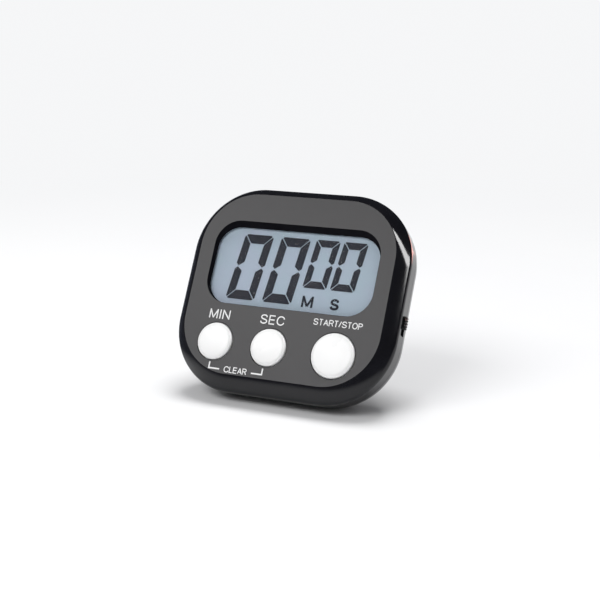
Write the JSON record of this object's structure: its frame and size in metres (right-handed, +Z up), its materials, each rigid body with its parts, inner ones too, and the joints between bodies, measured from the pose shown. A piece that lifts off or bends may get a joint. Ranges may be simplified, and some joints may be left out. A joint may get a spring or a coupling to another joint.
{
  "type": "kitchen timer",
  "caption": "Digital kitchen timer: chamfered rounded case, recessed LCD window, round push buttons, side slide switch, folding rear stand and back magnet.",
  "frame": {"origin": "centre of the bounding box, on the surface that the timer stands on", "axes": "+Z up, the display faces -Y and leans back, +X to the right of someone reading it"},
  "size_m": [0.0684, 0.0396, 0.0573],
  "materials": {
    "case": "gloss",
    "stand": "satin",
    "clear_sheet": "gloss",
    "lcd": "gloss",
    "reflector": "satin",
    "holder": "matte",
    "strip": "matte",
    "board": "satin",
    "epoxy": "gloss",
    "crystal_can": "satin",
    "components": "matte",
    "key_rubber": "matte",
    "button": "satin",
    "contact_rubber": "matte",
    "knob": "matte",
    "lever": "matte",
    "switch_housing": "satin",
    "brass": "satin",
    "ceramic": "matte",
    "cell": "gloss",
    "contact_steel": "gloss",
    "magnet": "gloss",
    "screw_steel": "satin",
    "lead": "satin"
  },
  "bodies": {
    "case": {"front_case": "case", "rear_case": "case", "display_window": "clear_sheet", "lcd_glass": "lcd", "lcd_reflector": "reflector", "lcd_holder": "holder", "contact_strip": "strip", "circuit_board": "board", "chip_cover": "epoxy", "crystal": "crystal_can", "board_components": "components", "key_mat": "key_rubber", "slide_switch": "switch_housing", "buzzer_plate": "brass", "buzzer_ceramic": "ceramic", "battery": "cell", "battery_spring": "contact_steel", "spring_plate": "contact_steel", "battery_contact": "contact_steel", "magnet": "magnet", "case_screws": "screw_steel", "board_screws": "screw_steel", "battery_leads": "lead", "buzzer_leads": "lead"},
    "min_key": {"min_button": "button", "min_key_pad": "contact_rubber"},
    "sec_key": {"sec_button": "button", "sec_key_pad": "contact_rubber"},
    "start_stop_key": {"start_stop_button": "button", "start_stop_key_pad": "contact_rubber"},
    "power_slider": {"switch_knob": "knob", "switch_lever": "lever"},
    "battery_lid": {"battery_door": "case"},
    "rear_stand": {"stand": "stand"}
  },
  "joints": [
    {"name": "min_press", "type": "slide", "parent": "case", "child": "min_key", "axis": [0, 0.878, -0.4787], "range_m": [0, 0.0008], "stiffness_N_per_m": 800},
    {"name": "sec_press", "type": "slide", "parent": "case", "child": "sec_key", "axis": [0, 0.878, -0.4787], "range_m": [0, 0.0008], "stiffness_N_per_m": 800},
    {"name": "start_stop_press", "type": "slide", "parent": "case", "child": "start_stop_key", "axis": [0, 0.878, -0.4787], "range_m": [0, 0.0008], "stiffness_N_per_m": 800},
    {"name": "power_slide", "type": "slide", "parent": "case", "child": "power_slider", "axis": [0, -0.4787, -0.878], "range_m": [0, 0.002]},
    {"name": "battery_lid_hinge", "type": "hinge", "parent": "case", "child": "battery_lid", "pos_m": [-0.00022, 0.01139, 0.03092], "axis": [-1, 0, 0], "range_deg": [0, 100]},
    {"name": "stand_hinge", "type": "hinge", "parent": "case", "child": "rear_stand", "pos_m": [-0.00022, 0.0084, 0.02628], "axis": [-1, 0, 0], "range_deg": [0, 45]}
  ]
}
